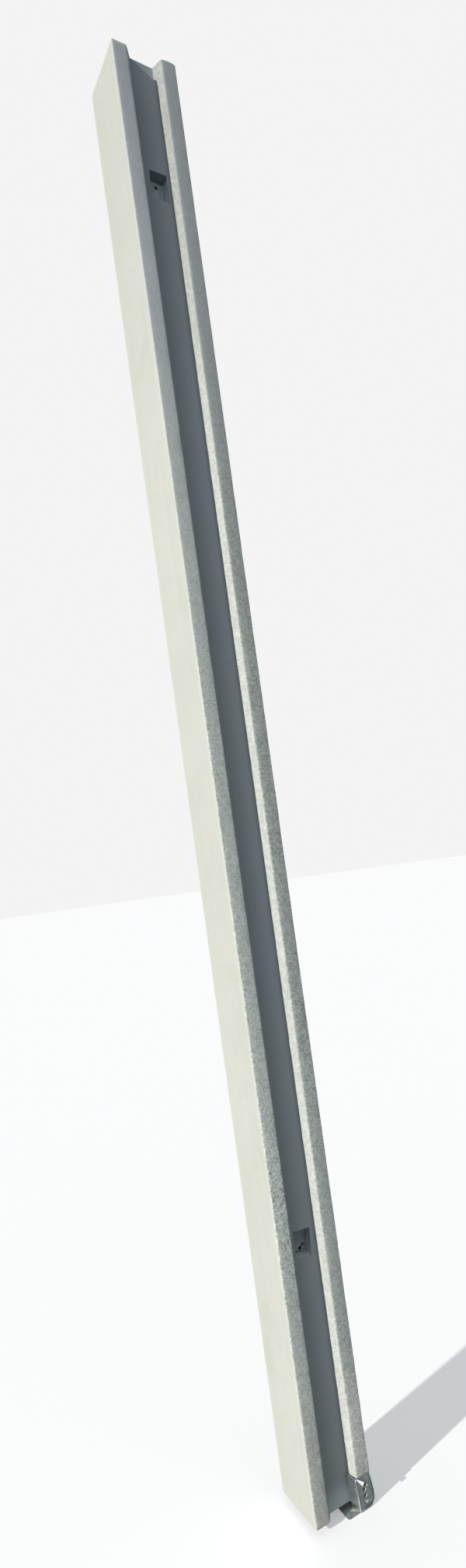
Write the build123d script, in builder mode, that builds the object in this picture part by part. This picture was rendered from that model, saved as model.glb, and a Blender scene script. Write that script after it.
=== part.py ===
"""Slotted concrete fence post with a folded steel clip round one flange at its foot.

The post stands along +Z. Its grooves face -Y (front) and +Y (back), and the clip
wraps the front flange on the +X side. The origin is the middle of the foot's end face.
"""

import os
from math import cos, radians, sin, sqrt, tan

from build123d import *

# Post body
post_width = 112.0
post_depth = 100.0
post_length = 2360.0
flange_face = 25.5
groove_depth = 15.0
groove_flare = 11.0
outer_arris_radius = 2.6
inner_arris_radius = 4.0
groove_corner_radius = 3.0
end_rounding = 1.5

# Pockets cast into the floor of the front groove, shifts measured towards +X
pocket_width = 32.0
pocket_height = 42.0
pocket_depth = 17.0
pocket_draft = 4.0
pocket_lip_radius = 6.0
pocket_back_radius = 1.0
pocket_tilt = 4.0
upper_pocket_from_top = 208.0
upper_pocket_shift = 2.8
lower_pocket_from_foot = 425.5
lower_pocket_shift = -2.8

# Fixing hole in the back wall of each pocket, and the casting void beside the lower one
fixing_hole_diameter = 5.6
fixing_hole_depth = 24.0
upper_hole_below_ceiling = 10.0
upper_hole_shift = 2.5
lower_hole_above_floor = 5.3
lower_hole_shift = 4.5
void_length = 5.5
void_width = 2.4
void_depth = 7.0
void_rise = 4.6
void_shift = 5.6
void_lean = 35.0

# Clip folded from sheet steel
sheet = 2.0
seat_clearance = 0.3
fold_inset = 3.2
fold_radius = 1.0
clip_above_foot = 42.6
clip_below_foot = 12.0
clip_top_fall = 2.5
leg_back_rise = 6.0
leg_back_setback = 5.0
clip_corner_cut = 6.0
clip_tilt = 3.0

# Splayed lip along the clip's outer edge
lip_setback = 5.0
lip_angle = 20.0
lip_reach = 9.4
lip_top_reach = 2.0
lip_shoulder_reach = 6.6
lip_foot_reach = 8.0
lip_foot_drop = 6.0
lip_widest_rise = 7.5
lip_shoulder_rise = 32.0
lip_corner_radius = 6.0

# Row of holes down the clip's face, and the one set aside from it next to the louvre
clip_hole_diameter = 5.6
clip_hole_pitch = 9.9
clip_hole_count = 3
clip_hole_top_rise = 19.7
clip_hole_from_edge = 15.1
side_hole_shift = 3.8
side_hole_lift = 5.8

# Louvre pressed out of the clip's upper inner corner, open at its wide end
louvre_root_width = 1.8
louvre_end_width = 6.0
louvre_length = 8.7
louvre_lift = 42.0
louvre_lean = 42.0
louvre_wall = 0.8
louvre_root_from_fold = 2.6
louvre_root_below_top = 1.3

# Tongue folded under the post's end from the clip's inner leg
tongue_reach = 23.5
tongue_length = 34.0
tongue_setback = 1.0
tongue_rise = 1.2
tongue_back_reach = 6.0
tongue_relief = 1.0
tongue_corner_radius = 4.0
bend_radius_back = 8.0
bend_radius_front = 2.0

# Places worked out from the sizes above
half_width = post_width / 2
front = -post_depth / 2
groove_floor = front + groove_depth
groove_mouth = half_width - flange_face
groove_floor_half = groove_mouth - groove_flare
pocket_back = groove_floor + pocket_depth
wall_lean = groove_flare / groove_depth
wall_slant = sqrt(1 + wall_lean**2)
plate_face = front - seat_clearance - sheet
fold_x = groove_mouth - fold_inset
lip_x = half_width - lip_setback
leg_back = groove_floor - leg_back_setback
clip_pivot = Axis((fold_x, plate_face, -clip_below_foot), (0, -1, 0))


def wall_at(y):
    """X of the front groove's +X wall at the depth y."""
    return groove_mouth - wall_lean * (y - front)


def facing_front(x, y, z):
    """Plane whose normal is -Y, with X to the right and Z up."""
    return Plane(origin=(x, y, z), x_dir=(1, 0, 0), z_dir=(0, -1, 0))


def lip_point(reach):
    """Point on the lip's outer face, the given distance out from its fold."""
    return lip_x + reach * cos(radians(lip_angle)), plate_face + reach * sin(radians(lip_angle))


# Former that leaves a pocket: its face lies in the XZ plane and it reaches in along +Y
with BuildPart() as pocket_former:
    narrowing = pocket_depth * tan(radians(pocket_draft))
    ceiling = pocket_height / 2
    with BuildSketch(Plane.XY.offset(-pocket_height)):
        with BuildLine():
            Polyline(
                (-pocket_width / 2, 0),
                (pocket_width / 2, 0),
                (pocket_width / 2 - narrowing, pocket_depth),
                (narrowing - pocket_width / 2, pocket_depth),
                close=True,
            )
        make_face()
    extrude(amount=2 * pocket_height)
    # Side view: sloped ceiling and sill, the sill rolling over into a rounded lip
    with BuildSketch(Plane(origin=(-pocket_width, 0, 0), x_dir=(0, 1, 0), z_dir=(1, 0, 0))):
        with BuildLine():
            Polyline(
                (0, -ceiling - pocket_lip_radius),
                (0, ceiling),
                (pocket_depth, ceiling - narrowing),
                (pocket_depth, narrowing - ceiling),
                (pocket_lip_radius, -ceiling),
            )
            RadiusArc((0, -ceiling - pocket_lip_radius), (pocket_lip_radius, -ceiling), pocket_lip_radius)
        make_face()
    extrude(amount=2 * pocket_width, mode=Mode.INTERSECT)
    back_face = pocket_former.faces().sort_by(Axis.Y)[-1]
    fillet(back_face.edges(), pocket_back_radius)

# Former that dresses the outer arris back for the clip's lip, tipped as the clip is
with BuildPart() as dressing_former:
    dressing_gap = (sheet + seat_clearance) / cos(radians(lip_angle))
    dressing_start = lip_x - (dressing_gap - sheet - seat_clearance) / tan(radians(lip_angle))
    dressing_end = half_width + lip_setback
    dressing_depth = (dressing_end - dressing_start) * tan(radians(lip_angle))
    with BuildSketch(Plane.XY.offset(-2 * clip_below_foot)):
        with BuildLine():
            Polyline(
                (dressing_start, front),
                (dressing_end, front + dressing_depth),
                (dressing_end, plate_face),
                (dressing_start, plate_face),
                close=True,
            )
        make_face()
    extrude(amount=2 * clip_below_foot + clip_above_foot - clip_top_fall + seat_clearance)

# Post: one H section with eased arrises, run the whole length
with BuildPart() as post_body:
    with BuildSketch(Plane.XY) as section:
        Rectangle(post_width, post_depth)
        fillet(section.vertices(), outer_arris_radius)
        with BuildSketch(mode=Mode.PRIVATE) as groove:
            with BuildLine():
                Polyline(
                    (-groove_mouth, front),
                    (-groove_floor_half, groove_floor),
                    (groove_floor_half, groove_floor),
                    (groove_mouth, front),
                    close=True,
                )
            make_face()
        add(groove.sketch, mode=Mode.SUBTRACT)
        add(mirror(groove.sketch, about=Plane.XZ), mode=Mode.SUBTRACT)
        corners = section.vertices().filter_by(lambda v: abs(v.Y) < post_depth / 2 - groove_depth / 2)
        fillet(corners.filter_by(lambda v: abs(v.X) < groove_mouth), groove_corner_radius)
        arrises = section.vertices().filter_by(lambda v: abs(v.Y) > post_depth / 2 - 0.01)
        fillet(arrises.filter_by(lambda v: abs(abs(v.X) - groove_mouth) < 0.01), inner_arris_radius)
    extrude(amount=post_length)
    fillet(post_body.faces().filter_by(Axis.Z).edges(), end_rounding)

    # Pockets, both from the one former and a little out of square
    pocket_places = (
        (upper_pocket_shift, post_length - upper_pocket_from_top),
        (lower_pocket_shift, lower_pocket_from_foot),
    )
    for x, z in pocket_places:
        with Locations(Location((x, groove_floor, z), (0, pocket_tilt, 0))):
            add(pocket_former.part, mode=Mode.SUBTRACT)

    # Fixing holes, each near the end of its pocket
    upper_hole_z = post_length - upper_pocket_from_top + pocket_height / 2 - upper_hole_below_ceiling
    lower_hole_z = lower_pocket_from_foot - pocket_height / 2 + lower_hole_above_floor
    upper_hole_x = upper_pocket_shift + upper_hole_shift
    lower_hole_x = lower_pocket_shift + lower_hole_shift
    for x, z in ((upper_hole_x, upper_hole_z), (lower_hole_x, lower_hole_z)):
        with Locations(facing_front(x, pocket_back, z)):
            Hole(fixing_hole_diameter / 2, depth=fixing_hole_depth)

    # Casting void up and to the right of the lower hole
    void_x = lower_hole_x + void_shift
    with BuildSketch(facing_front(void_x, pocket_back, lower_hole_z + void_rise)):
        SlotOverall(void_length, void_width, rotation=void_lean)
    extrude(amount=-void_depth, mode=Mode.SUBTRACT)

    # Outer arris dressed back at the foot, where the clip's lip lies against it
    add(dressing_former.part.rotate(clip_pivot, clip_tilt), mode=Mode.SUBTRACT)

# Clip, drawn upright: leg, face and lip folded from one sheet, then trimmed to its outline
with BuildPart() as upright_clip:
    leg_reach = wall_at(leg_back + sheet * wall_lean / wall_slant)
    leg_x = leg_reach - seat_clearance * wall_slant - sheet / wall_slant
    clip_height = clip_above_foot + leg_back_rise + clip_below_foot
    with BuildSketch(Plane.XY.offset(-clip_below_foot)):
        with BuildLine():
            Polyline(
                (leg_x, leg_back),
                (fold_x, plate_face),
                (lip_x, plate_face),
                lip_point(lip_reach),
            )
            offset(amount=sheet, side=Side.LEFT)
        make_face()
    extrude(amount=clip_height)
    uprights = upright_clip.edges().filter_by(Axis.Z)
    outer_folds = uprights.filter_by(lambda e: abs(e.center().Y - plate_face) < 0.01)
    fillet(outer_folds, sheet + fold_radius)

    with BuildSketch(facing_front(0, plate_face, 0)) as outline:
        with BuildLine():
            Polyline(
                (0, -clip_below_foot),
                (0, clip_above_foot + leg_back_rise),
                (leg_x, clip_above_foot + leg_back_rise),
                (fold_x, clip_above_foot),
                (lip_point(lip_top_reach)[0], clip_above_foot - clip_top_fall),
                (lip_point(lip_shoulder_reach)[0], lip_shoulder_rise),
                (lip_point(lip_reach)[0], lip_widest_rise),
                (lip_point(lip_foot_reach)[0], -lip_foot_drop),
                (lip_x - clip_corner_cut / 2, -clip_below_foot),
                close=True,
            )
        make_face()
        lip_corners = outline.vertices().filter_by(lambda v: v.X > lip_x + lip_top_reach)
        fillet(lip_corners, lip_corner_radius)
    extrude(amount=-post_depth, mode=Mode.INTERSECT)

    # Tongue under the post's end, reaching out behind the leg as well
    tongue_x = fold_x - tongue_reach
    tongue_front = plate_face + tongue_setback
    tongue_back = tongue_front + tongue_length
    tongue_right = fold_x + tongue_back_reach
    tongue_top = tongue_rise + sheet - clip_below_foot
    leg_middle = leg_x + sheet / wall_slant
    with BuildSketch(Plane.XY.offset(tongue_top - sheet)):
        with BuildLine():
            Polyline(
                (tongue_x, tongue_front),
                (fold_x, tongue_front),
                (leg_middle, leg_back),
                (leg_middle, leg_back + tongue_relief),
                (tongue_right, leg_back + tongue_relief),
                (tongue_right, tongue_back),
                (tongue_x, tongue_back),
                close=True,
            )
        make_face()
    extrude(amount=sheet)
    tongue_corners = upright_clip.edges().filter_by(Axis.Z).filter_by(
        lambda e: abs(e.center().Z + sheet / 2 - tongue_top) < 0.01
        and abs(e.center().X - tongue_x) < 0.01
    )
    fillet(tongue_corners, tongue_corner_radius)

    # Bend from leg to tongue, wide at the back and tight at the front
    leg_slope = (fold_x - leg_x) / (plate_face - leg_back)
    for y, radius in ((leg_back, bend_radius_back), (tongue_front, bend_radius_front)):
        leg_face = fold_x + leg_slope * (y - plate_face)
        with BuildSketch(facing_front(0, y, 0)):
            with BuildLine():
                Polyline(
                    (leg_face, tongue_top + radius),
                    (leg_face + sheet / 2, tongue_top + radius),
                    (leg_face + sheet / 2, tongue_top - sheet / 2),
                    (leg_face - radius, tongue_top - sheet / 2),
                    (leg_face - radius, tongue_top),
                )
                RadiusArc((leg_face - radius, tongue_top), (leg_face, tongue_top + radius), -radius)
            make_face()
    loft()

    # Row of holes, and the hole beside the louvre
    column_x = half_width - clip_hole_from_edge
    row_middle = clip_hole_top_rise - clip_hole_pitch * (clip_hole_count - 1) / 2
    with Locations(facing_front(column_x, plate_face, row_middle)):
        with GridLocations(0, clip_hole_pitch, 1, clip_hole_count):
            Hole(clip_hole_diameter / 2, depth=sheet)
    side_hole_z = clip_hole_top_rise + side_hole_lift
    with Locations(facing_front(column_x + side_hole_shift, plate_face, side_hole_z)):
        Hole(clip_hole_diameter / 2, depth=sheet)

# Louvre: a ramp that rises out of the clip's face, drawn in its own plane and tapered
lean = radians(louvre_lean)
ramp_direction = Vector(cos(lean), 0, -sin(lean))
across_ramp = Vector(sin(lean), 0, cos(lean))
louvre_root = Vector(fold_x + louvre_root_from_fold, plate_face, clip_above_foot - louvre_root_below_top)
louvre_height = louvre_length * tan(radians(louvre_lift))
roof_drop = sheet / cos(radians(louvre_lift))


def ramp(top, narrowing):
    """Wedge from the sheet's back up to a sloping roof, tapered in plan and narrowed on both sides."""
    start = louvre_length - (top + sheet) / tan(radians(louvre_lift))
    with BuildPart() as wedge:
        with BuildSketch(Plane(origin=louvre_root, x_dir=ramp_direction, z_dir=across_ramp * -1)):
            with BuildLine():
                Polyline((start, -sheet), (louvre_length, -sheet), (louvre_length, top), close=True)
            make_face()
        extrude(amount=louvre_end_width, both=True)
        with BuildSketch(Plane(origin=louvre_root, x_dir=ramp_direction, z_dir=(0, -1, 0))):
            with BuildLine():
                Polyline(
                    (0, narrowing - louvre_root_width / 2),
                    (louvre_length, narrowing - louvre_end_width / 2),
                    (louvre_length, louvre_end_width / 2 - narrowing),
                    (0, louvre_root_width / 2 - narrowing),
                    close=True,
                )
            make_face()
        extrude(amount=2 * louvre_height, both=True, mode=Mode.INTERSECT)
    return wedge.part


# Clip as it sits: louvre added and hollowed, then tipped about the foot of its fold
with BuildPart() as foot_clip:
    add(upright_clip.part)
    add(ramp(louvre_height, 0))
    add(ramp(louvre_height - roof_drop, louvre_wall), mode=Mode.SUBTRACT)
    foot_clip.part = foot_clip.part.rotate(clip_pivot, clip_tilt)

post_body.part.label = "post_body"
foot_clip.part.label = "foot_clip"

os.makedirs("parts", exist_ok=True)
export_step(post_body.part, "parts/post_body.step")
export_step(foot_clip.part, "parts/foot_clip.step")
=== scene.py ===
"""Slotted concrete fence post with a folded steel clip round one flange at its foot.

Each piece has its own operator; main() runs them in order. Metres, in the frame of the
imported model: +Z up the post, -Y out of the front groove.
"""

from math import cos, pi, radians, sin

import bmesh
import bpy
from mathutils import Matrix, Vector


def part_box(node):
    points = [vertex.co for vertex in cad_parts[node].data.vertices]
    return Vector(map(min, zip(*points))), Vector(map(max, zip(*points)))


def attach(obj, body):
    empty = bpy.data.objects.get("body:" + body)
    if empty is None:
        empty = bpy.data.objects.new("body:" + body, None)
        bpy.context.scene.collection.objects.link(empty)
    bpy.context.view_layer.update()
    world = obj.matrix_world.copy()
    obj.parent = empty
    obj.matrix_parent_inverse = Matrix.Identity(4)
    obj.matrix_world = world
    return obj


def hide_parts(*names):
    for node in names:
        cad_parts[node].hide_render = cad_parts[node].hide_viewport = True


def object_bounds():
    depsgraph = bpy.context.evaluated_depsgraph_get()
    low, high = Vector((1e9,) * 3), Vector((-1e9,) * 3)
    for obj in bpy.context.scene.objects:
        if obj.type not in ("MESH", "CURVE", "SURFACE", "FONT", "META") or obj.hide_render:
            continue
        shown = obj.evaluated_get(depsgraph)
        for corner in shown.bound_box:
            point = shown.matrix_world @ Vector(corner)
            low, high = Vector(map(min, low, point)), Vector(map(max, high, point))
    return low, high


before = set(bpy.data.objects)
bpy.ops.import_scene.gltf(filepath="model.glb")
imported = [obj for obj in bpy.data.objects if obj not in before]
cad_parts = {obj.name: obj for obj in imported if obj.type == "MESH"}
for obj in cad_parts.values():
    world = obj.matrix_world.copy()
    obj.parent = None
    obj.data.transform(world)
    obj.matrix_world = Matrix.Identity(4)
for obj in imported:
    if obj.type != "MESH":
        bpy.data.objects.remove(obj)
cad_low, cad_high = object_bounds()
post_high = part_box("post_body")[1]

bl_info = {
    "name": "Slotted Fence Post",
    "version": (1, 0, 0),
    "blender": (4, 5, 0),
    "location": "View3D > Sidebar > Fence Post",
    "description": "Builds a worn slotted concrete post, its foot clip and a plain stage",
    "category": "Object",
}

# Section of the post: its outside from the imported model, then half the groove's width at its
# mouth and at its floor, and how far its floor lies from the post's middle
HALF_WIDTH = post_high.x
HALF_DEPTH = post_high.y
POST_TOP = post_high.z
GROOVE_MOUTH = 0.0305
GROOVE_FLOOR_HALF = 0.0195
GROOVE_FLOOR = 0.035

# Pockets: the heights that each lies between, limits beside and behind them, and the places
# across and up of the lower fixing hole, the upper one and the void beside the lower one
POCKET_SPANS = ((0.395, 0.456), (2.121, 2.182))
POCKET_REACH = 0.024
POCKET_BACK = -0.0145
FIXING_HOLES = ((0.0017, 0.4098), (0.0053, 2.163), (0.0073, 0.4144))

# Height that parts the lower pocket from the upper one
HALF_WAY = 1.0

# Height up to which the post is unworn for the clip, and over which the wear above comes in
CLIP_SPAN = 0.056
WEAR_FADE = 0.030

# How far the wear of an arris or a rim reaches, and that of the ends up and down the post
WEAR_REACH = 0.006
END_REACH = 0.020

# Rounding of the end faces' rims, and depths from each end at which the post is cut for wear
END_ROUNDING = 0.0015
END_CUTS = (0.003, 0.005, 0.0075, 0.011, 0.016)

# Nearer than this counts as touching, and the floor lies this far under the lowest point
SNAP = 0.0002

# Clip: line that it leans about, its lean, how far its face stands off the flange, its holes
# before it leans, their radius, and which way the bright fold and the louvre face
CLIP_PIVOT = Vector((GROOVE_MOUTH - 0.0032, 0.0, -0.012))
CLIP_LEAN = radians(3)
CLIP_RISE = 0.0023
CLIP_FACE = -HALF_DEPTH - CLIP_RISE
CLIP_HOLES = ((0.0409, 0.0197), (0.0409, 0.0098), (0.0409, -0.0001), (0.0447, 0.0255))
HOLE_RADIUS = 0.0028
# Fold faces near FOLD_NORMAL and louvre faces near LOUVRE_NORMAL, halfway from key light to camera, get
# painted highlight
FOLD_NORMAL = Vector((-0.452, -0.892, 0.0))
LOUVRE_NORMAL = Vector((-0.684, -0.446, 0.577))

# Knocked corners: arris in plan, end of the post, share of the corner radius
KNOCKS = (
    ((-HALF_WIDTH, HALF_DEPTH), "top", 1.0),
    ((-HALF_WIDTH, HALF_DEPTH), "foot", 0.8),
    ((HALF_WIDTH, -HALF_DEPTH), "top", 0.7),
    ((HALF_WIDTH, HALF_DEPTH), "top", 0.5),
    ((HALF_WIDTH, HALF_DEPTH), "foot", 0.6),
    ((-GROOVE_MOUTH, -HALF_DEPTH), "top", 0.5),
    ((-GROOVE_MOUTH, -HALF_DEPTH), "foot", 0.6),
    ((-GROOVE_MOUTH, HALF_DEPTH), "top", 0.5),
    ((GROOVE_MOUTH, HALF_DEPTH), "foot", 0.4),
    ((-HALF_WIDTH, -HALF_DEPTH), "foot", 0.15),
)

# Tints laid over the colours of the finish: concrete, then steel; the low groove one is painted shade
FOOT_TINT = (0.735, 0.735, 0.665)
HEAD_TINT = (0.705, 0.735, 0.745)
LOW_GROOVE_SHADE = (0.342, 0.378, 0.372)
DAMP_TINT = (0.365, 0.400, 0.385)
GRIME_TINT = (0.085, 0.095, 0.090)
RUST_TINT = (0.16, 0.085, 0.055)
SCRATCH_TINT = (0.66, 0.69, 0.68)

# The photograph in its own pixels: its size, the focal length and the point straight ahead
PHOTO_WIDTH = 600.0
PHOTO_HEIGHT = 2018.0
FOCAL_LENGTH = 1006.5866
AHEAD_X = 308.8378
AHEAD_Y = 1111.9738


class PostSettings(bpy.types.PropertyGroup):
    """Wear of the concrete post."""

    ring_spacing: bpy.props.FloatProperty(
        name="Ring Spacing",
        description="Distance between the rings of vertices up the post",
        default=0.0045,
        min=0.002,
        unit="LENGTH",
    )
    arris_wear: bpy.props.FloatProperty(
        name="Arris Wear",
        description="Deepest that the long arrises are worn back",
        default=0.0007,
        min=0.0,
        unit="LENGTH",
    )
    chip_depth: bpy.props.FloatProperty(
        name="Chip Depth",
        description="Depth of the scattered chips along the arrises",
        default=0.0014,
        min=0.0,
        unit="LENGTH",
    )
    corner_radius: bpy.props.FloatProperty(
        name="Corner Radius",
        description="Rounding of the most knocked corner of the ends",
        default=0.010,
        min=0.0,
        unit="LENGTH",
    )
    web_dip: bpy.props.FloatProperty(
        name="Web Dip",
        description="How far the web sinks below the flanges at the top end",
        default=0.0053,
        min=0.0,
        unit="LENGTH",
    )
    pocket_lip: bpy.props.FloatProperty(
        name="Pocket Lip",
        description="Width of the broken edge over each pocket",
        default=0.0016,
        min=0.0,
        unit="LENGTH",
    )
    lump_height: bpy.props.FloatProperty(
        name="Lump Height",
        description="Unevenness of the concrete inside the pockets",
        default=0.0028,
        min=0.0,
        unit="LENGTH",
    )


class ClipSettings(bpy.types.PropertyGroup):
    """Finish of the clip's edges and holes, and the strength of the painted highlight on its fold."""

    edge_break: bpy.props.FloatProperty(
        name="Edge Break",
        description="Width of the worn bevel along the sheet's edges",
        default=0.00025,
        min=0.0,
        unit="LENGTH",
    )
    rim_break: bpy.props.FloatProperty(
        name="Rim Break",
        description="Width of the pressed-in rim round each hole",
        default=0.0004,
        min=0.0,
        unit="LENGTH",
    )
    # Strength of the painted highlight along the fold
    fold_glint: bpy.props.FloatProperty(
        name="Fold Glint",
        description="How far the zinc is rubbed bright along the fold",
        default=0.9,
        min=0.0,
        max=1.0,
        subtype="FACTOR",
    )


class FinishSettings(bpy.types.PropertyGroup):
    """Colours of the concrete and of the steel."""

    concrete: bpy.props.FloatVectorProperty(
        name="Concrete",
        description="Pale cement skin of the struck sides",
        default=(0.64, 0.65, 0.57),
        min=0.0,
        max=1.0,
        subtype="COLOR",
    )
    # Colour of the groove floors: painted shade, darker and cooler than the concrete of the sides
    painted_groove_shade: bpy.props.FloatVectorProperty(
        name="Groove Concrete",
        description="Cooler, denser concrete on the grooves' floors",
        default=(0.345, 0.385, 0.41),
        min=0.0,
        max=1.0,
        subtype="COLOR",
    )
    wall_concrete: bpy.props.FloatVectorProperty(
        name="Wall Concrete",
        description="Paler, neutral concrete of the grooves' flared walls",
        default=(0.685, 0.70, 0.635),
        min=0.0,
        max=1.0,
        subtype="COLOR",
    )
    face_concrete: bpy.props.FloatVectorProperty(
        name="Face Concrete",
        description="Open, sandy concrete of the flange faces",
        default=(0.705, 0.74, 0.68),
        min=0.0,
        max=1.0,
        subtype="COLOR",
    )
    moss: bpy.props.FloatVectorProperty(
        name="Green Stain",
        description="Faint green stain on the sides",
        default=(0.47, 0.52, 0.38),
        min=0.0,
        max=1.0,
        subtype="COLOR",
    )
    steel: bpy.props.FloatVectorProperty(
        name="Steel",
        description="Dull zinc grey of the clip",
        default=(0.345, 0.372, 0.360),
        min=0.0,
        max=1.0,
        subtype="COLOR",
    )
    # Colour of the painted highlights on the clip
    painted_highlight_zinc: bpy.props.FloatVectorProperty(
        name="Rubbed Zinc",
        description="Bright metal of the sheet's edges, the holes, the fold and the louvre",
        default=(0.86, 0.89, 0.88),
        min=0.0,
        max=1.0,
        subtype="COLOR",
    )
    zinc_bloom: bpy.props.FloatVectorProperty(
        name="Zinc Bloom",
        description="Pale bloom where the zinc has weathered",
        default=(0.50, 0.54, 0.52),
        min=0.0,
        max=1.0,
        subtype="COLOR",
    )


class StageSettings(bpy.types.PropertyGroup):
    """Floor, light and camera."""

    floor_colour: bpy.props.FloatVectorProperty(
        name="Floor",
        description="Pale floor",
        default=(0.80, 0.80, 0.80),
        min=0.0,
        max=1.0,
        subtype="COLOR",
    )
    key_strength: bpy.props.FloatProperty(
        name="Key Strength", description="Strength of the key light", default=3.1, min=0.0
    )
    key_softness: bpy.props.FloatProperty(
        name="Key Softness",
        description="Angle across the key light",
        default=radians(1.2),
        subtype="ANGLE",
    )
    fill_strength: bpy.props.FloatProperty(
        name="Fill Strength", description="Strength of the soft fill", default=0.36, min=0.0
    )
    backdrop_strength: bpy.props.FloatProperty(
        name="Backdrop Strength", description="Brightness of the backdrop", default=0.9, min=0.0
    )


def set_stops(ramp, stops):
    """Gives a colour ramp its grey (place, level) stops."""
    while len(ramp.elements) < len(stops):
        ramp.elements.new(0.5)
    for element, (place, level) in zip(ramp.elements, stops):
        element.position = place
        element.color = (level, level, level, 1.0)


class Wire:
    """A shader socket that takes part in Python sums, each of which adds a Math node."""

    def __init__(self, graph, socket):
        self.graph = graph
        self.socket = socket

    def _sum(self, operation, *terms):
        return self.graph.node("Math", {"operation": operation}, *terms)

    def __add__(self, other):
        return self._sum("ADD", self, other)

    def __radd__(self, other):
        return self._sum("ADD", other, self)

    def __sub__(self, other):
        return self._sum("SUBTRACT", self, other)

    def __rsub__(self, other):
        return self._sum("SUBTRACT", other, self)

    def __mul__(self, other):
        return self._sum("MULTIPLY", self, other)

    def __rmul__(self, other):
        return self._sum("MULTIPLY", other, self)

    def __truediv__(self, other):
        return self._sum("DIVIDE", self, other)

    def __rtruediv__(self, other):
        return self._sum("DIVIDE", other, self)

    def __pow__(self, other):
        return self._sum("POWER", self, other)

    def __rpow__(self, other):
        return self._sum("POWER", other, self)

    def __neg__(self):
        return self._sum("MULTIPLY", self, -1.0)

    def __abs__(self):
        return self._sum("ABSOLUTE", self)


class Graph:
    """Node tree of one material, filled by expressions."""

    def __init__(self, name):
        self.material = bpy.data.materials.new(name)
        self.material.use_nodes = True
        self.tree = self.material.node_tree
        self.shader = self.tree.nodes["Principled BSDF"]

    def node(self, kind, settings=None, *inputs, output=0, **named):
        """Adds a node, makes its settings, then gives its sockets values or links."""
        made = self.tree.nodes.new("ShaderNode" + kind)
        for key, value in (settings or {}).items():
            if key == "stops":
                set_stops(made.color_ramp, value)
            else:
                setattr(made, key, value)
        for key, value in [*enumerate(inputs), *named.items()]:
            self.put(made.inputs[key.replace("_", " ") if isinstance(key, str) else key], value)
        return Wire(self, made.outputs[output])

    def put(self, socket, value):
        """Links a wire to a socket, or sets the socket's own value."""
        if isinstance(value, Wire):
            self.tree.links.new(value.socket, socket)
        elif value is not None:
            socket.default_value = value

    def place(self, scale=(1.0, 1.0, 1.0), offset=(0.0, 0.0, 0.0)):
        """Object coordinates, stretched and shifted."""
        here = self.node("TexCoord", output="Object")
        return self.node("Mapping", None, here, Location=offset, Scale=scale)

    def axes(self):
        """The three object coordinates as separate wires."""
        split = self.node("SeparateXYZ", None, self.node("TexCoord", output="Object"))
        outputs = split.socket.node.outputs
        return [Wire(self, outputs[i]) for i in range(3)]

    def noise(self, scale, detail=3.0, roughness=0.55, where=None):
        """Noise from 0 to 1; its features are about 1/scale metres across."""
        return self.node(
            "TexNoise", None, Vector=where or self.place(), Scale=scale, Detail=detail, Roughness=roughness
        )

    def cells(self, scale, output="Distance", where=None):
        """Cellular pattern with cells about 1/scale metres across."""
        return self.node("TexVoronoi", None, Vector=where or self.place(), Scale=scale, output=output)

    def ramp(self, wire, *stops):
        """Grey level from a ramp with (place, level) stops."""
        return self.node("ValToRGB", {"stops": stops}, wire)

    def band(self, wire, start, end):
        """0 at start to 1 at end, clamped and eased."""
        return self.node("MapRange", {"interpolation_type": "SMOOTHSTEP"}, wire, start, end, 0.0, 1.0)

    def attribute(self, name):
        """Value painted on the mesh."""
        return self.node("Attribute", {"attribute_name": name + "_tone"}, output="Fac")

    def mix(self, amount, first, second, blend="MIX"):
        """Mix of two colours."""
        made = self.tree.nodes.new("ShaderNodeMix")
        made.data_type = "RGBA"
        made.blend_type = blend
        self.put(made.inputs[0], amount)
        for socket, colour in ((made.inputs[6], first), (made.inputs[7], second)):
            self.put(socket, colour if isinstance(colour, Wire) else (*colour, 1.0))
        return Wire(self, made.outputs[2])

    def dim(self, colour, level):
        """Colour times a grey level."""
        grey = self.node("CombineColor", None, level, level, level)
        return self.mix(1.0, colour, grey, blend="MULTIPLY")

    def bump(self, height, depth, strength, below=None):
        """Normal that a height pattern gives, laid over the one below it."""
        return self.node("Bump", None, Height=height, Distance=depth, Strength=strength, Normal=below)

    def finish(self, **sockets):
        """Feeds the shader's sockets and gives the material."""
        for key, value in sockets.items():
            self.put(self.shader.inputs[key.replace("_", " ")], value)
        return self.material


def sand(g, grains):
    """Speckle from 0 to about 1: the grains, with stones and flecks of 3 to 5 mm among them."""
    stones = g.noise(230.0, detail=3.0, roughness=0.65, where=g.place(offset=(7.0, 3.0, 5.0)))
    flecks = None
    for scale, share in ((300.0, 0.55), (190.0, 0.40)):
        dot = 1.0 - g.band(g.cells(scale), 0.22, 0.42)
        kind = g.cells(scale, output="Color")
        fleck = dot * (g.band(kind, 0.60, 0.66) * 0.8 - (1.0 - g.band(kind, 0.44, 0.50)))
        flecks = share * fleck if flecks is None else flecks + share * fleck
    speckle = 0.5 + 0.26 * (g.band(grains, 0.28, 0.72) - 0.5) + 0.34 * (g.band(stones, 0.32, 0.68) - 0.5)
    return speckle + 0.42 * flecks


def air_holes(g):
    """Air holes of two sizes, in a few of the cells only."""
    pores = None
    for scale, size, share, shift in ((170.0, 0.16, 0.80, 1.0), (60.0, 0.07, 0.86, 4.0)):
        where = g.place(offset=(shift, shift, shift))
        near = g.cells(scale, where=where)
        chosen = g.band(g.cells(scale, output="Color", where=where), share, share + 0.05)
        pore = (1.0 - g.band(near, size * 0.45, size)) * chosen
        pores = pore if pores is None else pores + pore - pores * pore
    return pores


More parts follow.
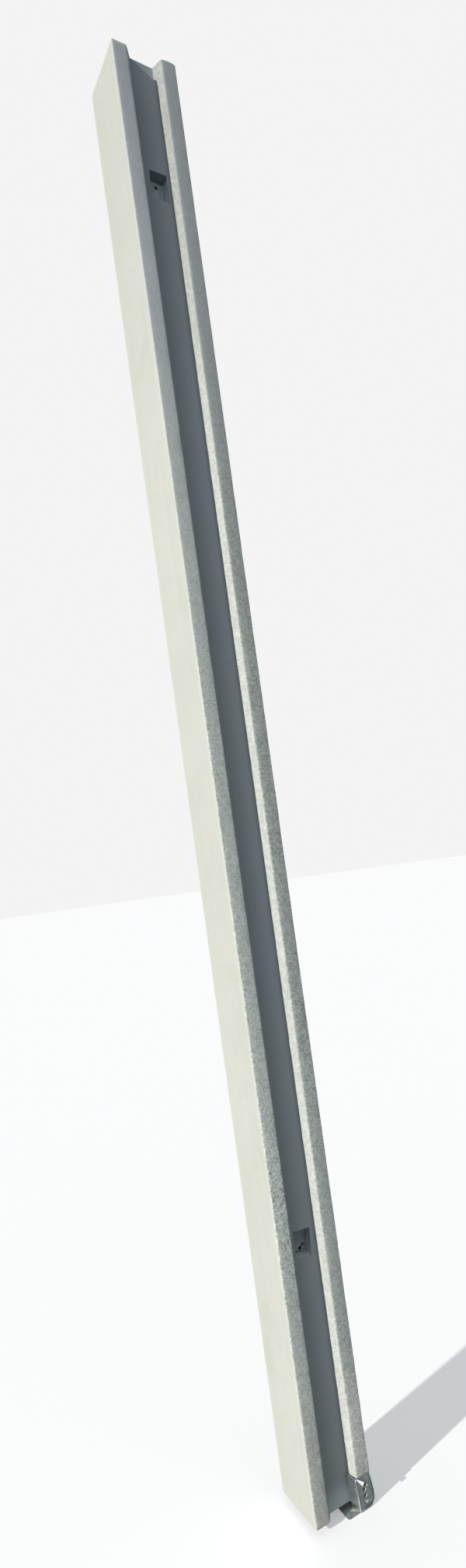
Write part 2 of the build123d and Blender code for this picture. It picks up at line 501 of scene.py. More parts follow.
def concrete_material(colours):
    """Cast concrete: pale struck sides, sandy flange faces, stains and wear, and painted light and shade."""
    g = Graph("cast_concrete")
    x, y, z = g.axes()
    height = z / POST_TOP

    # Where on the post the surface lies
    flange = g.band(abs(y), HALF_DEPTH - 0.0024, HALF_DEPTH - 0.0008)
    right = g.band(x, -0.02, 0.02)
    ends = g.band(abs(z - POST_TOP / 2), POST_TOP / 2 - 0.0006, POST_TOP / 2)
    root = x + 0.0020 * g.band(height, 0.983, 0.990)
    past_floor = (root, GROOVE_FLOOR_HALF + 0.0022, GROOVE_FLOOR_HALF + 0.0034)
    groove = (1.0 - g.band(*past_floor)) * (1.0 - ends)
    groove = groove * g.band(x, -GROOVE_MOUTH - 0.001, -GROOVE_MOUTH + 0.001) * (1.0 - flange)
    # Strip of groove floor in its right inner corner, given a painted shade line below
    corner = g.band(x, GROOVE_FLOOR_HALF + 0.0013, GROOVE_FLOOR_HALF + 0.0025) * groove
    wall = g.band(*past_floor) * (1.0 - flange)
    wall = wall * (1.0 - g.band(x, GROOVE_MOUTH - 0.0005, GROOVE_MOUTH + 0.001))
    inside = g.band(y, -GROOVE_FLOOR + 0.0003, -GROOVE_FLOOR + 0.004) * groove
    upper = (z, HALF_WAY, HALF_WAY + 0.1)
    up_pocket = z - POCKET_SPANS[0][0] - g.band(*upper) * (POCKET_SPANS[1][0] - POCKET_SPANS[0][0])
    # Which way each face turns: used for painted shade on faces turned down and painted light on faces
    # turned up
    facing = g.node("SeparateXYZ", None, g.node("NewGeometry", output="True Normal"))
    upward = Wire(g, facing.socket.node.outputs[2])
    under, over = g.band(-upward, 0.15, 0.6), g.band(upward, 0.3, 0.7)
    # Right flange face behind the clip's plate, painted dark as its shade, which shows through the holes
    shade_behind_clip = flange * right * (1.0 - g.band(z, 0.036, 0.042)) * (1.0 - g.band(y, 0.0, 0.01))
    worn = g.attribute("arris_wear")

    # Broad tone: clouds, streaks down the mould and green stain
    clouds = g.noise(9.0, detail=5.0, roughness=0.6)
    streaks = g.noise(1.0, detail=4.0, where=g.place((130.0, 130.0, 2.2)))
    fine_streaks = g.noise(1.0, detail=3.0, where=g.place((420.0, 420.0, 7.0), (3.0, 1.0, 0.0)))
    stain = g.band(g.noise(6.5, detail=6.0, roughness=0.7, where=g.place(offset=(4.0, 2.0, 1.0))), 0.5, 0.72)
    tone = 0.88 + 0.12 * clouds + 0.07 * streaks + 0.05 * fine_streaks
    tone = tone * (1.0 - (0.07 - 0.07 * flange + 0.21 * wall) * g.band(height, 0.66, 0.95))

    # Painted light and shade: each flange face is lighter or darker up its height, the right one mostly
    # darker
    left_face_shade = g.ramp(
        height, (0.04, 0.83), (0.12, 0.90), (0.24, 1.0), (0.6, 0.95), (0.78, 0.90), (0.97, 0.74)
    )
    right_face_shade = g.ramp(
        height, (0.06, 0.95), (0.11, 0.74), (0.24, 0.78), (0.45, 0.72), (0.72, 0.68), (0.95, 0.64)
    )
    face_shade = right_face_shade * right + left_face_shade * (1.0 - right)
    # Each flange face is sandiest at about a quarter of its height
    left_sand_low = ((0.06, 0.42), (0.13, 0.42), (0.19, 0.85), (0.22, 1.0))
    left_sand = g.ramp(height, *left_sand_low, (0.28, 0.5), (0.55, 0.46), (0.68, 0.2), (0.9, 0.08))
    right_sand_low = ((0.05, 0.6), (0.13, 0.46), (0.2, 0.5), (0.3, 0.7))
    right_sand = g.ramp(height, *right_sand_low, (0.55, 0.6), (0.68, 0.42), (0.8, 0.2), (0.95, 0.1))
    sandy = 1.6 * (right_sand * right + left_sand * (1.0 - right))

    # Grains of a millimetre or two, the sand they belong to, and air holes
    grains = g.noise(520.0, detail=2.0, roughness=0.6)
    speckle = sand(g, grains)
    pores = air_holes(g)

    # Colour
    skin = g.mix(stain * 0.28, tuple(colours.concrete), tuple(colours.moss))
    skin = g.mix(wall, skin, tuple(colours.wall_concrete))
    skin = g.mix(flange, skin, tuple(colours.face_concrete))
    skin = g.mix((1.0 - g.band(height, 0.02, 0.12)) * flange * 0.8, skin, FOOT_TINT)
    skin = g.mix(g.band(height, 0.6, 0.95) * flange, skin, HEAD_TINT)
    # Groove floors take the painted shade colour, lower down a greener painted shade, then damp patches
    skin = g.mix(groove, skin, tuple(colours.painted_groove_shade))
    skin = g.mix((1.0 - g.band(height, 0.0, 0.5)) * groove * 0.85, skin, LOW_GROOVE_SHADE)
    damp = g.band(g.noise(15.0, detail=3.0, where=g.place((1.0, 1.0, 0.4), (5.0, 2.0, 9.0))), 0.4, 0.62)
    skin = g.mix(damp * groove * 0.4, skin, DAMP_TINT)
    # Groove floor: painted shade towards the left flange and in a line in the right inner corner, painted
    # light towards the right wall and near the top end; lighter too over its lowest 5 cm
    across = 0.97 + 9.5 * x + 0.10 * g.band(height, 0.955, 0.985) - 0.55 * corner
    floor_shade_and_light = ((across - 1.0) * groove + 1.0) * (1.0 + 0.68 * groove * (1.0 - g.band(z, 0.004, 0.050)))
    patches = g.band(g.noise(150.0, detail=2.0), 0.45, 0.7)
    # Pockets: painted shade in the upper part under each ceiling, most in the lower pocket; lighter overall,
    # more in the upper pocket and in random patches
    high = 0.30 * g.band(up_pocket, 0.012, 0.034) * (1.0 - 0.8 * g.band(*upper))
    pocket_shade = 1.0 - inside * (high - 0.12 - 0.20 * patches - 0.16 * g.band(*upper))
    # Painted shade on faces turned down, painted light on faces turned up inside the pockets
    pocket_shade = pocket_shade * (1.0 - 0.66 * under) * (1.0 + 0.40 * over * inside)
    grain_share = 1.05 * flange * sandy + 0.05 + 0.10 * worn + 0.12 * wall - 0.04 * groove
    level = tone * (1.0 + grain_share * (speckle - 0.5)) * (1.0 - 0.45 * pores) * (1.0 + 0.07 * worn)
    mottle = g.band(g.noise(120.0, detail=4.0, roughness=0.65), 0.35, 0.65) - 0.5
    level = level * (1.0 + 0.20 * wall * mottle) * (1.0 - 0.78 * shade_behind_clip)
    level = level * (1.0 - flange * (1.0 - face_shade)) * floor_shade_and_light * pocket_shade
    # Painted shade inside the holes that run back from the pockets, and round the mouths of the lower hole
    # and void
    bore_shade = g.band(y, POCKET_BACK - 0.002, POCKET_BACK) * (1.0 - g.band(y, 0.008, 0.009)) * groove
    bore_shade = bore_shade * (1.0 - g.band(z, POCKET_SPANS[1][1], POCKET_SPANS[1][1] + 0.010))
    level = level * (1.0 - 0.85 * bore_shade)
    for hole_x, hole_z in (FIXING_HOLES[0], FIXING_HOLES[2]):
        off = ((x - hole_x) * (x - hole_x) + (z - hole_z) * (z - hole_z)) ** 0.5
        level = level * (1.0 - 0.5 * (1.0 - g.band(off, 0.0022, 0.0046)) * inside)
    colour = g.dim(skin, level)

    # Relief: sand stands proud on the flange faces, the sides and grooves are smoother
    rough_face = 0.12 + 0.70 * flange * sandy + 0.12 * worn + 0.40 * wall - 0.09 * groove
    relief = (0.6 * speckle + 0.4 * g.noise(1100.0, detail=2.0)) * rough_face
    normal = g.bump(relief, 0.0009, 0.36)
    normal = g.bump(1.0 - pores, 0.0010, 0.6, below=normal)
    normal = g.bump(g.noise(45.0, detail=3.0), 0.0010, 0.3, below=normal)
    roughness = 0.84 + 0.12 * grains
    return g.finish(Base_Color=colour, Roughness=roughness, Normal=normal, Specular_IOR_Level=0.28)


def steel_material(colours):
    """Dull galvanised sheet: crystals in the zinc, pale bloom, grime low down, and painted light and shade.
    """
    g = Graph("galvanised_sheet")
    x, y, z = g.axes()

    # Zinc crystals, bloom, dirt, rust and scratches, then the painted highlights and painted shade of the
    # holes
    crystal = g.ramp(g.cells(220.0, output="Color"), (0.1, 0.0), (0.9, 1.0))
    bloom = g.band(g.noise(70.0, detail=6.0, roughness=0.72), 0.46, 0.68)
    dirt = g.noise(110.0, detail=5.0, roughness=0.7, where=g.place(offset=(2.0, 5.0, 8.0)))
    low = 1.0 - g.band(z, -0.010, 0.012)
    lip = g.band(x, 0.0535, 0.0565)
    grime = g.band(dirt + 0.07 * low * g.band(x, 0.030, 0.050) + 0.10 * lip, 0.50, 0.66)
    rust = g.band(g.noise(260.0, detail=4.0, where=g.place(offset=(6.0, 1.0, 3.0))), 0.62, 0.72) * grime
    scratches = g.band(g.noise(1.0, detail=2.0, where=g.place((900.0, 900.0, 60.0))), 0.63, 0.70)
    painted = g.attribute("rubbed")
    rubbed = g.band(painted, 0.0, 1.0) * (0.78 + 0.40 * g.band(g.noise(85.0, detail=3.0), 0.35, 0.65))
    # The fold's painted highlight is weaker halfway up
    half_way = g.band(z, 0.008, 0.020) * (1.0 - g.band(z, 0.036, 0.042)) * (1.0 - g.band(x, 0.0285, 0.0298))
    rubbed = rubbed * (1.0 - 0.68 * half_way)
    # Painted shade on the walls of the holes turned away from the key light
    hole_shade = g.band(-painted, 0.0, 1.0)

    # Where on the clip the surface lies
    leg = (1.0 - g.band(x, 0.0275, 0.0295)) * g.band(z, -0.008, 0.0)
    painted_light_by_fold = g.band(x, 0.0200, 0.0280) * leg
    plate = g.band(x, 0.0285, 0.0315) * (1.0 - lip)
    tongue = 1.0 - g.band(z, -0.0095, -0.0070)
    bend = (1.0 - g.band(z, -0.004, 0.004)) * (1.0 - tongue) * (1.0 - plate)

    # Colour, and how bright each part of the sheet is, with painted light and shade
    colour = g.mix(bloom * 0.40, tuple(colours.steel), tuple(colours.zinc_bloom))
    colour = g.mix(grime * 0.50, colour, GRIME_TINT)
    colour = g.mix(rust * 0.5, colour, RUST_TINT)
    colour = g.mix(0.18 * scratches, colour, SCRATCH_TINT)
    right_side = plate * g.band(x, 0.040, 0.052) * (1.0 - 1.4 * g.band(z, 0.008, 0.020))
    blotch = plate * g.band(x, 0.032, 0.040) * (1.0 - g.band(z, -0.007, 0.0))
    free_edge = leg * (1.0 - g.band(x, 0.0150, 0.0185)) * g.band(z, 0.020, 0.040)
    # Painted light on the tongue's part in the web's shade
    painted_bounce_under_web = tongue * g.band(y - 0.186 * x, -0.0445, -0.0435) * (1.0 - g.band(y, -0.036, -0.031))
    # Painted shade on the leg, painted light beside the fold and on the tongue
    level = 0.95 + 0.10 * crystal - 0.26 * leg + 0.28 * painted_light_by_fold + 0.48 * tongue + 0.45 * painted_bounce_under_web
    # Painted shade on the bend; darker along the leg's free edge near its top
    level = level - 0.62 * bend * (1.0 - 0.75 * g.band(x, 0.0225, 0.0260)) - 0.22 * free_edge
    # Plate lighter, its right side lighter low down and darker higher up; painted shade on the holes' far
    # walls; a blotch low on the plate
    level = (level + 0.28 * plate + 0.22 * right_side) * (1.0 - 0.85 * hole_shade) * (1.0 - 0.45 * blotch)
    colour = g.dim(colour, level)
    # Painted highlights in pale zinc
    colour = g.mix(rubbed, colour, tuple(colours.painted_highlight_zinc))

    # Gloss and relief
    roughness = 0.50 + 0.10 * bloom + 0.12 * grime + 0.03 * crystal - 0.06 * scratches + 0.14 * bend
    # Less metallic where the painted highlights and the painted light under the web lie
    metallic = (0.84 - 0.30 * bloom - 0.30 * grime) * (1.0 - 0.62 * rubbed) * (1.0 - 0.6 * painted_bounce_under_web)
    normal = g.bump(0.2 * crystal + 0.8 * g.noise(420.0, detail=3.0), 0.00022, 0.3)
    normal = g.bump(g.noise(38.0, detail=2.0), 0.0011, 0.3, below=normal)
    return g.finish(Base_Color=colour, Roughness=roughness, Metallic=metallic, Normal=normal)


def floor_material(colour, glow):
    """Matt pale floor with the faint cloudiness of painted paper."""
    g = Graph("pale_floor")
    cloud = g.noise(1.6, detail=3.0)
    shade = g.mix(cloud * 0.10, tuple(colour), tuple(0.94 * c for c in colour))
    g.shader.inputs["Emission Color"].default_value = (1.0, 1.0, 1.0, 1.0)
    return g.finish(Base_Color=shade, Roughness=0.95, Emission_Strength=glow, Specular_IOR_Level=0.0)


def only(piece):
    """Deselects everything else and makes the piece active."""
    bpy.ops.object.select_all(action="DESELECT")
    piece.select_set(True)
    bpy.context.view_layer.objects.active = piece
    return piece


def working_copy(node, name):
    """Copy of a CAD node with its loose triangles joined into plain faces, ready in edit mode."""
    piece = bpy.data.objects.new(name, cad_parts[node].data.copy())
    piece.data.name = name
    piece.data.materials.clear()
    bpy.context.scene.collection.objects.link(piece)
    only(piece)
    bpy.ops.mesh.customdata_custom_splitnormals_clear()
    bpy.ops.object.mode_set(mode="EDIT")
    bpy.ops.mesh.select_all(action="SELECT")
    bpy.ops.mesh.remove_doubles(threshold=1e-6)
    bpy.ops.mesh.dissolve_limited(angle_limit=radians(0.3), delimit=set())
    return piece


def pick(piece, kind, test):
    """Selects the vertices, edges or faces of the mesh being edited that pass the test."""
    mode = {"verts": "VERT", "edges": "EDGE", "faces": "FACE"}[kind]
    bpy.ops.mesh.select_mode(type=mode)
    bpy.ops.mesh.select_all(action="DESELECT")
    mesh = bmesh.from_edit_mesh(piece.data)
    found = 0
    for element in getattr(mesh, kind):
        if test(element):
            element.select_set(True)
            found += 1
    mesh.select_flush_mode()
    bmesh.update_edit_mesh(piece.data)
    return found


def cut(place, normal):
    """Cuts the whole mesh being edited along a plane."""
    bpy.ops.mesh.select_all(action="SELECT")
    bpy.ops.mesh.bisect(plane_co=place, plane_no=normal)


def middle(edge):
    """Centre of an edge."""
    return (edge.verts[0].co + edge.verts[1].co) / 2


def upright(edge):
    """True for an edge that runs up the post."""
    run = edge.verts[1].co - edge.verts[0].co
    return abs(run.z) > 0.006 and abs(run.x) + abs(run.y) < 0.02 * abs(run.z)


def clamp(value):
    """The value, kept between 0 and 1."""
    return max(0.0, min(1.0, value))


def arris_weight(p):
    """1 on a long arris of the post, falling to 0 a little way from it; less up the post."""
    near = min(
        (Vector((abs(p.x), abs(p.y))) - Vector(corner)).length
        for corner in ((HALF_WIDTH, HALF_DEPTH), (GROOVE_MOUTH, HALF_DEPTH))
    )
    handled = 0.6 + 0.4 * clamp((1.8 - p.z) / 0.5)
    return handled * clamp(1.25 - near / WEAR_REACH)


def end_weight(p):
    """1 at the rim of an end face, falling to 0 a little way inwards and up the post."""
    near = min(p.z, POST_TOP - p.z)
    rim = max(0.0, 1.0 - near / WEAR_REACH)
    inside = min(HALF_WIDTH - abs(p.x), HALF_DEPTH - abs(p.y))
    return rim * max(0.0, 1.0 - max(0.0, inside) / WEAR_REACH)


def clear_of_clip(p):
    """0 where the clip bears on the post, which stays unworn, rising to 1 a little above it."""
    if p.x < 0.012 or p.y > -0.030:
        return 1.0
    return clamp((p.z - CLIP_SPAN) / WEAR_FADE)


def in_pocket(p):
    """True inside either pocket of the front groove."""
    deep = -GROOVE_FLOOR + 0.0004 < p.y < POCKET_BACK
    beside = abs(p.x) < POCKET_REACH
    return deep and beside and any(low < p.z < high for low, high in POCKET_SPANS)


def pocket_weight(p):
    """How lumpy the concrete inside a pocket is: most low down, but not on a hole's rim."""
    hole_rim = 0.0045
    rim = min((Vector((p.x, p.z)) - Vector(hole)).length for hole in FIXING_HOLES)
    if not in_pocket(p) or rim < hole_rim:
        return 0.0
    low, least = (POCKET_SPANS[0][0], 0.15) if p.z < HALF_WAY else (POCKET_SPANS[1][0], 0.5)
    depth = clamp((p.y + 0.032) / 0.007)
    return depth * max(least, min(1.0, 1.35 - (p.z - low) / 0.035))


def paint(piece, name, weigh):
    """Vertex group, and an attribute for the material, weighed by each vertex's place."""
    group = piece.vertex_groups.new(name=name)
    values = [weigh(v.co) for v in piece.data.vertices]
    for index, value in enumerate(values):
        if value > 0.0:
            group.add([index], value, "REPLACE")
    layer = piece.data.attributes.new(name + "_tone", "FLOAT", "POINT")
    layer.data.foreach_set("value", values)


def weather(piece, group, depth, size, stops):
    """Wears the group's surface inwards by a cloud pattern, or outwards for a depth below 0."""
    clouds = bpy.data.textures.new(f"{group}_clouds", "CLOUDS")
    clouds.noise_scale = size
    clouds.noise_depth = 3
    clouds.noise_basis = "ORIGINAL_PERLIN"
    clouds.use_color_ramp = True
    set_stops(clouds.color_ramp, stops)
    wear = piece.modifiers.new("wear", "DISPLACE")
    wear.texture = clouds
    wear.texture_coords = "LOCAL"
    wear.vertex_group = group
    wear.mid_level = 0.0
    wear.strength = -depth
    only(piece)
    bpy.ops.object.modifier_apply(modifier=wear.name)
    bpy.data.textures.remove(clouds)


def knock(p, radius):
    """Where a vertex near the knocked corners goes: onto a ball-nosed rounding of each."""
    margin = 0.001
    for (arris_x, arris_y), end, share in KNOCKS:
        end_z, inward = (POST_TOP, -1.0) if end == "top" else (0.0, 1.0)
        reach = share * radius
        side_x, side_y = (1.0 if arris_x > 0 else -1.0), (1.0 if arris_y > 0 else -1.0)
        back = HALF_DEPTH - side_y * p.y
        if abs(arris_x) < HALF_WIDTH:
            slope = (GROOVE_MOUTH - GROOVE_FLOOR_HALF) / (HALF_DEPTH - GROOVE_FLOOR)
            inset, turn = side_x * p.x - (GROOVE_MOUTH - slope * back), side_x
        else:
            inset, turn = HALF_WIDTH - side_x * p.x, -side_x
        across = (inset + back) / 2**0.5
        height = (p.z - end_z) * inward
        if min(inset, back) <= -margin or max(across, height) >= reach:
            continue
        beyond = Vector((reach - across, reach - height))
        if beyond.length > reach:
            near = Vector((reach, reach)) - beyond.normalized() * reach
            step = (near.x - across) / 2**0.5
            p = Vector((p.x + turn * step, p.y - side_y * step, end_z + inward * near.y))
    return p


def dip_web(p, depth):
    """Where a vertex near the top end goes: the web sinks between the flanges, more at the right."""
    slope = 1.0 - max(0.0, abs(p.x) - GROOVE_FLOOR_HALF) / (GROOVE_MOUTH - GROOVE_FLOOR_HALF)
    near = 1.0 - (POST_TOP - p.z) / END_REACH
    tilt = 1.0 + 0.23 * max(-1.0, min(1.0, p.x / GROOVE_FLOOR_HALF))
    return p - Vector((0.0, 0.0, depth * tilt * max(0.0, slope) * max(0.0, near)))


class FENCEPOST_OT_post(bpy.types.Operator):
    """Builds the concrete post: cut into rings, worn along its arrises and knocked at its corners"""

    bl_idname = "fence_post.post"
    bl_label = "Concrete Post"

    def execute(self, context):
        sizes = context.scene.fence_post
        post = working_copy("post_body", "concrete_post")
        self.break_lips(post, sizes.pocket_lip)
        self.cut_rings(post, sizes.ring_spacing)
        self.roughen_pockets(post)
        bpy.ops.object.mode_set(mode="OBJECT")
        self.wear(post, sizes)
        bpy.ops.object.shade_smooth_by_angle(angle=radians(38))
        post.data.materials.append(concrete_material(context.scene.fence_finish))
        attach(post, "root")
        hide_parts("post_body")
        return {"FINISHED"}

    def break_lips(self, post, width):
        """Broken edge where each pocket's ceiling meets the groove's floor."""
        shortest_lip = 0.012

        def ceiling(face):
            return face.normal.z < -0.5 and in_pocket(face.calc_center_median())

        def lip(edge):
            at_floor = all(abs(v.co.y + GROOVE_FLOOR) < SNAP for v in edge.verts)
            long_enough = edge.calc_length() > shortest_lip
            return at_floor and long_enough and any(ceiling(f) for f in edge.link_faces)

        if not pick(post, "edges", lip):
            raise RuntimeError("the edges over the pockets were not found")
        bpy.ops.mesh.bevel(offset=width, segments=2)

    def cut_rings(self, post, spacing):
        """Crosswise and lengthwise cuts, then rungs between the lengthwise ones."""
        shortest_span = 0.012
        heights = [*END_CUTS, *(POST_TOP - depth for depth in END_CUTS), CLIP_SPAN]
        for low, high in POCKET_SPANS:
            heights += [low, high]
        for height in sorted(heights):
            cut((0.0, 0.0, height), (0.0, 0.0, 1.0))
        for sign in (-1.0, 1.0):
            for across in (HALF_WIDTH - 0.0075, GROOVE_MOUTH + 0.0075):
                cut((sign * across, 0.0, 0.0), (1.0, 0.0, 0.0))
            for deep in (HALF_DEPTH - 0.005, HALF_DEPTH - 0.009):
                cut((0.0, sign * deep, 0.0), (0.0, 1.0, 0.0))
        self.cut_ends(post)
        levels = sorted([*heights, END_ROUNDING, POST_TOP - END_ROUNDING])
        for low, high in zip(levels, levels[1:]):
            cuts = round((high - low) / spacing) - 1
            if cuts < 1 or high - low < shortest_span:
                continue

            def spans(edge):
                a, b = sorted((edge.verts[0].co.z, edge.verts[1].co.z))
                return upright(edge) and abs(a - low) < SNAP and abs(b - high) < SNAP

            if pick(post, "edges", spans):
                bpy.ops.mesh.subdivide(number_cuts=cuts, quadcorner="INNERVERT")

    def cut_ends(self, post):
        """A grid of cuts over the end faces and the last of the sides, for their wear."""
        web_lines = (0.0, GROOVE_FLOOR_HALF / 2, GROOVE_FLOOR_HALF, 0.025, GROOVE_MOUTH)
        flange_lines = (0.034, 0.043, 0.0525)
        depth_lines = (0.0, 0.018, GROOVE_FLOOR, 0.038, 0.0475)
        for sign in (-1.0, 1.0):
            for place in (*web_lines, *flange_lines):
                self.select_ends(post)
                bpy.ops.mesh.bisect(plane_co=(sign * place, 0.0, 0.0), plane_no=(1.0, 0.0, 0.0))
            for place in depth_lines:
                self.select_ends(post)
                bpy.ops.mesh.bisect(plane_co=(0.0, sign * place, 0.0), plane_no=(0.0, 1.0, 0.0))

    def select_ends(self, post):
        """Selects the faces that lie within the last cut of either end."""
        reach = END_CUTS[-1] + 0.0001
        pick(post, "faces", lambda f: all(min(v.co.z, POST_TOP - v.co.z) < reach for v in f.verts))

    def roughen_pockets(self, post):
        """Small faces inside the pockets, so that their concrete can be lumpy."""
        if not pick(post, "faces", lambda f: in_pocket(f.calc_center_median())):
            raise RuntimeError("the pockets' faces were not found")
        bpy.ops.mesh.quads_convert_to_tris(quad_method="BEAUTY", ngon_method="BEAUTY")
        for size in (0.012, 0.006, 0.004):
            if pick(post, "edges", lambda e: in_pocket(middle(e)) and e.calc_length() > size):
                bpy.ops.mesh.subdivide(number_cuts=1)
                bpy.ops.mesh.quads_convert_to_tris(quad_method="BEAUTY", ngon_method="BEAUTY")

    def wear(self, post, sizes):
        """Wears the post's edges back and raises lumps in its pockets, clear of where the clip bears."""
        paint(post, "arris_wear", lambda p: clear_of_clip(p) * max(arris_weight(p), end_weight(p)))
        paint(post, "end_wear", lambda p: clear_of_clip(p) * end_weight(p))
        paint(post, "pocket_wear", pocket_weight)
        weather(post, "arris_wear", sizes.arris_wear, 0.018, ((0.25, 0.0), (0.8, 1.0)))
        weather(post, "arris_wear", sizes.chip_depth, 0.007, ((0.62, 0.0), (0.80, 1.0)))
        weather(post, "end_wear", 0.7 * sizes.chip_depth, 0.012, ((0.35, 0.0), (0.75, 1.0)))
        weather(post, "pocket_wear", -sizes.lump_height, 0.009, ((0.35, 0.0), (0.75, 1.0)))
        for vertex in post.data.vertices:
            p = vertex.co.copy()
            if clear_of_clip(p) and min(p.z, POST_TOP - p.z) < END_REACH:
                p = knock(p, sizes.corner_radius)
                p = dip_web(p, sizes.web_dip)
            vertex.co = p


def upright_place(p):
    """Place across and up the clip before it leans."""
    off = p - CLIP_PIVOT
    across = CLIP_PIVOT.x + off.x * cos(CLIP_LEAN) + off.z * sin(CLIP_LEAN)
    return Vector((across, CLIP_PIVOT.z - off.x * sin(CLIP_LEAN) + off.z * cos(CLIP_LEAN)))


def leaned_place(place):
    """Place on the clip's face of a point given across and up the clip before it leans."""
    across, up = place[0] - CLIP_PIVOT.x, place[1] - CLIP_PIVOT.z
    return (
        CLIP_PIVOT.x + across * cos(CLIP_LEAN) - up * sin(CLIP_LEAN),
        CLIP_FACE,
        CLIP_PIVOT.z + across * sin(CLIP_LEAN) + up * cos(CLIP_LEAN),
    )


def near_hole(p, margin):
    """True within a margin of one of the clip's holes."""
    here = upright_place(p)
    return any((here - Vector(hole)).length < HOLE_RADIUS + margin for hole in CLIP_HOLES)


def painted_glint_face(face, fold_glint, rim):
    """Painted highlight on a face, from 0 to 1; below 0 is painted shade on the holes' far walls."""
    centre, normal = face.center, face.normal

    # Painted highlight on the holes' walls that face the key light and painted shade on the others, then on
    # the leg's top edge, the louvre and the fold
    if abs(normal.y) < 0.95 and near_hole(centre, rim):
        return 1.0 if normal.x < 0.1 else -1.0
    if normal.z > 0.7 and centre.z > 0.02 and centre.x < 0.028:
        return 0.75
    if centre.z > 0.030 and centre.x > 0.028 and normal.dot(LOUVRE_NORMAL) > 0.86:
        return 1.0
    turn = normal.angle(FOLD_NORMAL, pi)
    if centre.z > -0.010 and centre.x < 0.034:
        return fold_glint * clamp((radians(27) - turn) / radians(16))
    return 0.0


class FENCEPOST_OT_clip(bpy.types.Operator):
    """Finishes the folded clip: pressed hole rims, worn sheet edges, smooth folds, painted highlights and
    shade
    """

    bl_idname = "fence_post.clip"
    bl_label = "Foot Clip"

    def execute(self, context):
        sizes = context.scene.fence_clip
        clip = working_copy("foot_clip", "folded_clip")
        self.press_rims(clip, sizes.rim_break)
        bpy.ops.object.mode_set(mode="OBJECT")
        bevel = clip.modifiers.new("worn_edges", "BEVEL")
        bevel.width = sizes.edge_break
        bevel.segments = 2
        bevel.limit_method = "ANGLE"
        bevel.angle_limit = radians(50)
        only(clip)
        bpy.ops.object.modifier_apply(modifier=bevel.name)
        bpy.ops.object.shade_smooth_by_angle(angle=radians(35))
        flat = clip.modifiers.new("flat_sheet", "WEIGHTED_NORMAL")
        flat.keep_sharp = True
        bpy.ops.object.modifier_apply(modifier=flat.name)
        rim = sizes.rim_break + 0.0003
        # Painted highlights and painted shade of the holes, one value a face
        rubbed = [painted_glint_face(face, sizes.fold_glint, rim) for face in clip.data.polygons]
        layer = clip.data.attributes.new("rubbed_tone", "FLOAT", "FACE")
        layer.data.foreach_set("value", rubbed)
        clip.data.materials.append(steel_material(context.scene.fence_finish))
        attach(clip, "root")
        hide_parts("foot_clip")
        return {"FINISHED"}

    def press_rims(self, clip, width):
        """Pressed-in rim round the front of each hole: its wall is cut round, then its mouth widened."""

        def wall(face):
            return abs(face.normal.y) < 0.1 and near_hole(face.calc_center_median(), SNAP)

        if not pick(clip, "faces", wall):
            raise RuntimeError("the walls of the clip's holes were not found")
        bpy.ops.mesh.bisect(plane_co=(0.0, CLIP_FACE + width, 0.0), plane_no=(0.0, 1.0, 0.0))
        for hole in CLIP_HOLES:

            def mouth(vertex):
                off = (upright_place(vertex.co) - Vector(hole)).length
                return abs(vertex.co.y - CLIP_FACE) < SNAP and off < HOLE_RADIUS + SNAP

            if not pick(clip, "verts", mouth):
                raise RuntimeError("the rims of the clip's holes were not found")
            wider = 1.0 + width / HOLE_RADIUS
            bpy.ops.transform.resize(value=(wider, 1.0, wider), center_override=leaned_place(hole))


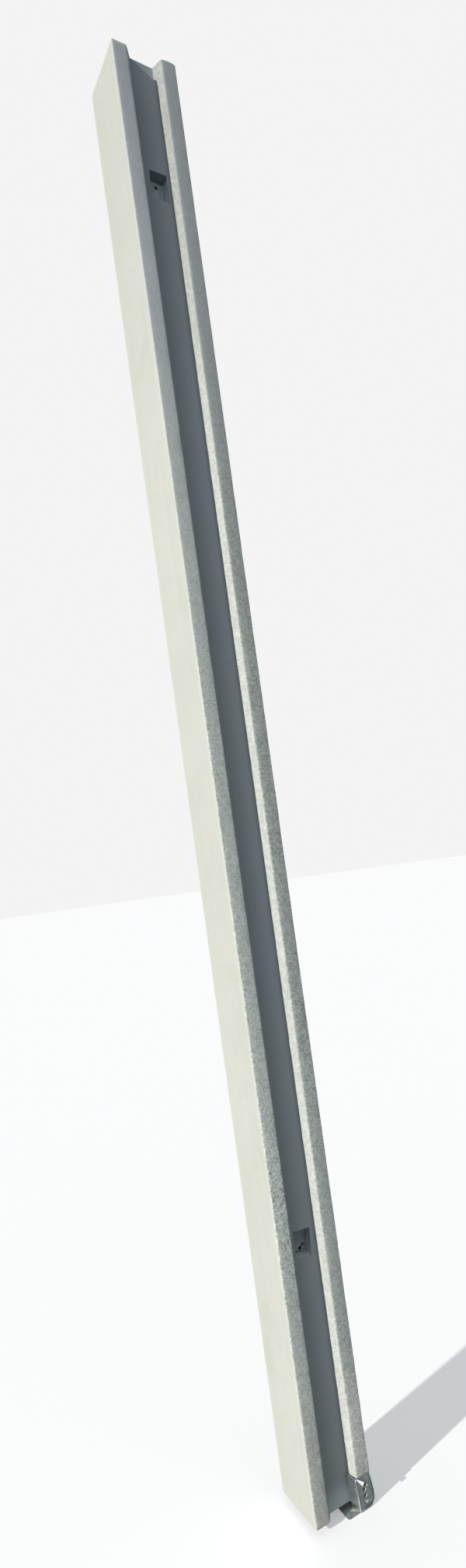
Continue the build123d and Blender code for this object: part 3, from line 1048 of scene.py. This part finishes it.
class FENCEPOST_OT_stage(bpy.types.Operator):
    """Sets a pale floor, a plain backdrop, a key light, soft fill and the camera"""

    bl_idname = "fence_post.stage"
    bl_label = "Stage"

    def execute(self, context):
        stage = context.scene.fence_stage
        self.floor(stage)
        self.world(context.scene, stage)
        self.key(context.scene, stage)
        self.camera(context.scene)
        context.scene.view_settings.view_transform = "Standard"
        return {"FINISHED"}

    def floor(self, stage):
        """Wide floor under the lowest point, seen by the camera but adding no bounce of its own."""
        bpy.ops.object.select_all(action="DESELECT")
        bpy.ops.mesh.primitive_circle_add(
            vertices=96, radius=60.0, fill_type="NGON", location=(0.0, 0.0, cad_low.z - SNAP)
        )
        floor = bpy.context.object
        floor.name = "pale_floor"
        bpy.ops.object.mode_set(mode="EDIT")
        bpy.ops.mesh.inset(thickness=20.0)
        bpy.ops.object.mode_set(mode="OBJECT")
        bpy.ops.object.transform_apply(location=True, rotation=True, scale=True)
        floor.data.materials.append(floor_material(stage.floor_colour, glow=0.34))
        floor.visible_diffuse = False
        floor.visible_glossy = False

    def world(self, scene, stage):
        """Soft cool fill from all round, with a plain pale backdrop behind."""
        world = bpy.data.worlds.new("soft_fill")
        scene.world = world
        world.use_nodes = True
        nodes, links = world.node_tree.nodes, world.node_tree.links
        fill = nodes["Background"]
        fill.inputs["Color"].default_value = (0.86, 0.93, 1.0, 1.0)
        fill.inputs["Strength"].default_value = stage.fill_strength
        backdrop = nodes.new("ShaderNodeBackground")
        backdrop.inputs["Color"].default_value = (1.0, 1.0, 1.0, 1.0)
        backdrop.inputs["Strength"].default_value = stage.backdrop_strength
        seen = nodes.new("ShaderNodeLightPath")
        mix = nodes.new("ShaderNodeMixShader")
        links.new(seen.outputs["Is Camera Ray"], mix.inputs[0])
        links.new(fill.outputs[0], mix.inputs[1])
        links.new(backdrop.outputs[0], mix.inputs[2])
        links.new(mix.outputs[0], nodes["World Output"].inputs["Surface"])

    def key(self, scene, stage):
        """Key light that rakes across the front of the post from its left."""
        lamp = bpy.data.lights.new("key", "SUN")
        lamp.energy = stage.key_strength
        lamp.angle = stage.key_softness
        lamp.color = (1.0, 0.985, 0.95)
        key = bpy.data.objects.new("key", lamp)
        scene.collection.objects.link(key)
        travel = Vector((0.870, 0.162, -0.466))
        key.rotation_euler = travel.to_track_quat("-Z", "Y").to_euler()
        key.location = travel * -4.0

    def camera(self, scene):
        """Camera with the photograph's place, turn and framing."""
        lens = bpy.data.cameras.new("camera")
        lens.sensor_fit = "AUTO"
        lens.sensor_width = 36.0
        lens.lens = FOCAL_LENGTH * lens.sensor_width / PHOTO_HEIGHT
        lens.shift_x = (PHOTO_WIDTH / 2 - AHEAD_X) / PHOTO_HEIGHT
        lens.shift_y = (AHEAD_Y - PHOTO_HEIGHT / 2) / PHOTO_HEIGHT
        lens.clip_start = 0.01
        lens.clip_end = 200.0
        camera = bpy.data.objects.new("camera", lens)
        scene.collection.objects.link(camera)
        right = Vector((0.86677962, -0.47965248, -0.13647926))
        down = Vector((-0.11435628, 0.07520686, -0.990589))
        ahead = Vector((0.48540265, 0.87422962, 0.0103365))
        turn = Matrix((right, -down, -ahead)).transposed().to_4x4()
        turn.translation = Vector((-0.627602, -1.127588, 1.027281))
        camera.matrix_world = turn
        scene.camera = camera


class FENCEPOST_PT_panel(bpy.types.Panel):
    """Sizes, colours and the operators that build the pieces"""

    bl_idname = "FENCEPOST_PT_panel"
    bl_label = "Fence Post"
    bl_space_type = "VIEW_3D"
    bl_region_type = "UI"
    bl_category = "Fence Post"

    def draw(self, context):
        layout = self.layout
        for name in SETTINGS:
            box = layout.box()
            settings = getattr(context.scene, name)
            for prop in settings.__annotations__:
                box.prop(settings, prop)
        for operator in OPERATORS:
            layout.operator(operator.bl_idname)


OPERATORS = (FENCEPOST_OT_stage, FENCEPOST_OT_post, FENCEPOST_OT_clip)
SETTINGS = {
    "fence_post": PostSettings,
    "fence_clip": ClipSettings,
    "fence_finish": FinishSettings,
    "fence_stage": StageSettings,
}


def register():
    for settings in SETTINGS.values():
        bpy.utils.register_class(settings)
    for name, settings in SETTINGS.items():
        setattr(bpy.types.Scene, name, bpy.props.PointerProperty(type=settings))
    for operator in OPERATORS:
        bpy.utils.register_class(operator)
    bpy.utils.register_class(FENCEPOST_PT_panel)


def unregister():
    bpy.utils.unregister_class(FENCEPOST_PT_panel)
    for operator in reversed(OPERATORS):
        bpy.utils.unregister_class(operator)
    for name, settings in SETTINGS.items():
        delattr(bpy.types.Scene, name)
        bpy.utils.unregister_class(settings)


def main():
    """Builds everything in order."""
    register()
    bpy.ops.fence_post.stage()
    bpy.ops.fence_post.post()
    bpy.ops.fence_post.clip()


if __name__ == "__main__":
    main()
